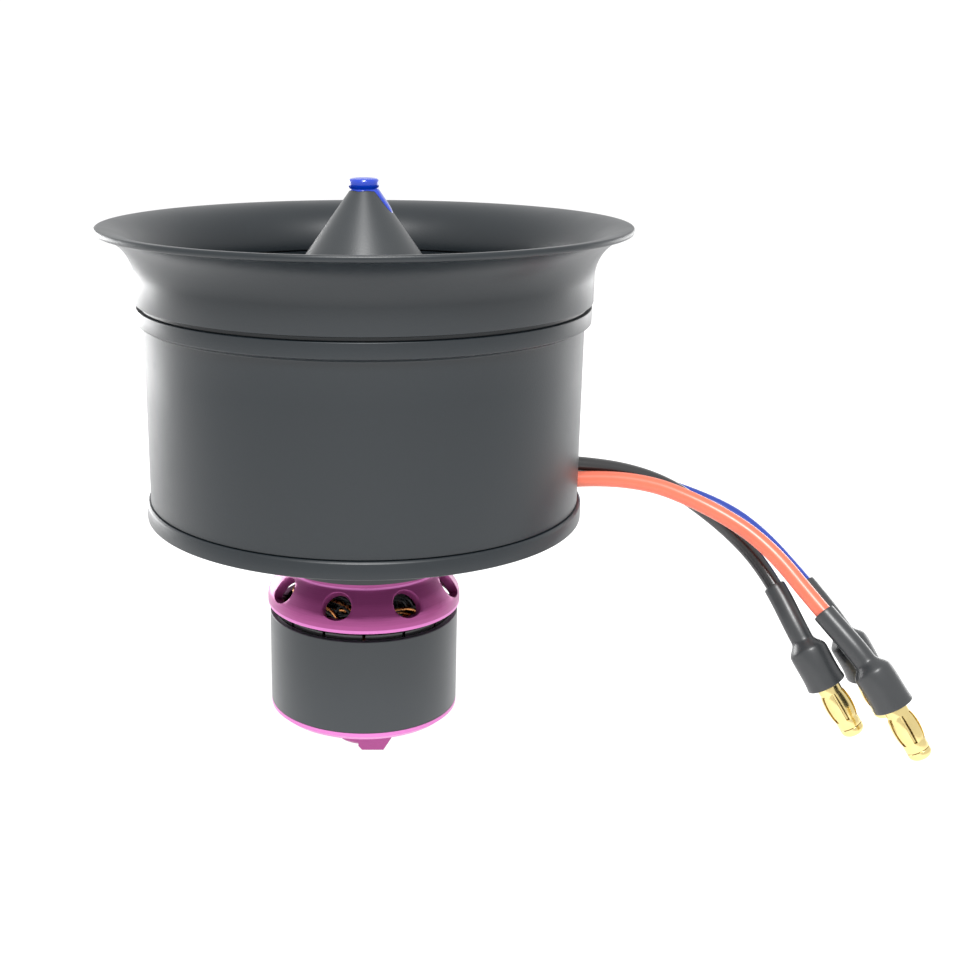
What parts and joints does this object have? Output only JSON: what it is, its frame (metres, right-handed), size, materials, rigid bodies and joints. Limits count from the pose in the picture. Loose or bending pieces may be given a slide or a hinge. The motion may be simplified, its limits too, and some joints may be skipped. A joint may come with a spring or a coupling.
{
  "type": "electric ducted fan unit",
  "caption": "Ducted fan for a model jet: flared intake lip, shroud, cone spinner, fan, stator and outrunner motor with three plugged leads.",
  "frame": {"origin": "on the fan's axis, in the plane of the duct's rear exit, which is the rear face of the thrust tube flange", "axes": "+Z along the fan's axis towards the intake and the spinner, +X towards the side where the leads leave the shroud"},
  "size_m": [0.1237, 0.08, 0.0913],
  "materials": {
    "housing_plastic": "satin moulded plastic",
    "fan_plastic": "satin moulded plastic",
    "spinner_plastic": "satin moulded plastic",
    "blue_lacquer": "glossy lacquer",
    "purple_anodised": "turned and anodised",
    "can_coating": "satin coating",
    "magnet_nickel": "nickel plate",
    "core_steel": "stacked sheet",
    "insulator_coat": "epoxy coat",
    "copper_wire": "enamelled wire",
    "ground_steel": "ground",
    "ball_steel": "polished",
    "cage_brass": "pressed",
    "black_steel": "black oxide",
    "plated_steel": "zinc plate",
    "adapter_aluminium": "turned",
    "silicone_red": "silicone rubber",
    "silicone_black": "silicone rubber",
    "silicone_blue": "silicone rubber",
    "shrink_black": "shrunk sleeve",
    "gold_plate": "gold plate, polished"
  },
  "bodies": {
    "housing": {"duct_shroud": "housing_plastic", "intake_lip": "housing_plastic", "stator": "housing_plastic", "motor_base": "purple_anodised", "motor_screws": "black_steel", "stator_core": "core_steel", "core_insulators": "insulator_coat", "winding_a": "copper_wire", "winding_b": "copper_wire", "winding_c": "copper_wire", "front_bearing_outer": "ground_steel", "front_bearing_shields": "ground_steel", "rear_bearing_outer": "ground_steel", "rear_bearing_shields": "ground_steel", "splice_sleeves": "shrink_black", "lead_red": "silicone_red", "lead_black": "silicone_black", "lead_blue": "silicone_blue", "heat_shrink_red": "shrink_black", "heat_shrink_black": "shrink_black", "heat_shrink_blue": "shrink_black", "bullet_red": "gold_plate", "bullet_black": "gold_plate", "bullet_blue": "gold_plate", "bullet_cage_red": "gold_plate", "bullet_cage_black": "gold_plate", "bullet_cage_blue": "gold_plate"},
    "rotor": {"fan_rotor": "fan_plastic", "spinner": "spinner_plastic", "spinner_screw": "black_steel", "seal_bead": "blue_lacquer", "hub_adapter": "adapter_aluminium", "adapter_grub_screws": "black_steel", "rotor_washer": "plated_steel", "rotor_nut": "plated_steel", "shaft": "ground_steel", "retaining_clip": "black_steel", "shim_washers": "ground_steel", "front_bearing_inner": "ground_steel", "rear_bearing_inner": "ground_steel", "motor_can": "can_coating", "magnets": "magnet_nickel", "end_bell": "purple_anodised", "shaft_grub_screws": "black_steel"},
    "ball_cages": {"front_bearing_balls": "ball_steel", "front_bearing_cage": "cage_brass", "rear_bearing_balls": "ball_steel", "rear_bearing_cage": "cage_brass"}
  },
  "joints": [
    {"name": "rotor_spin", "type": "hinge", "parent": "housing", "child": "rotor", "pos_m": [0, 0, 0], "axis": [0, 0, 1], "continuous": true},
    {"name": "cage_spin", "type": "hinge", "parent": "housing", "child": "ball_cages", "pos_m": [0, 0, 0], "axis": [0, 0, 1], "continuous": true}
  ],
  "couplings": [
    {"joint": "cage_spin", "follows": "rotor_spin", "ratio": 0.3778}
  ]
}
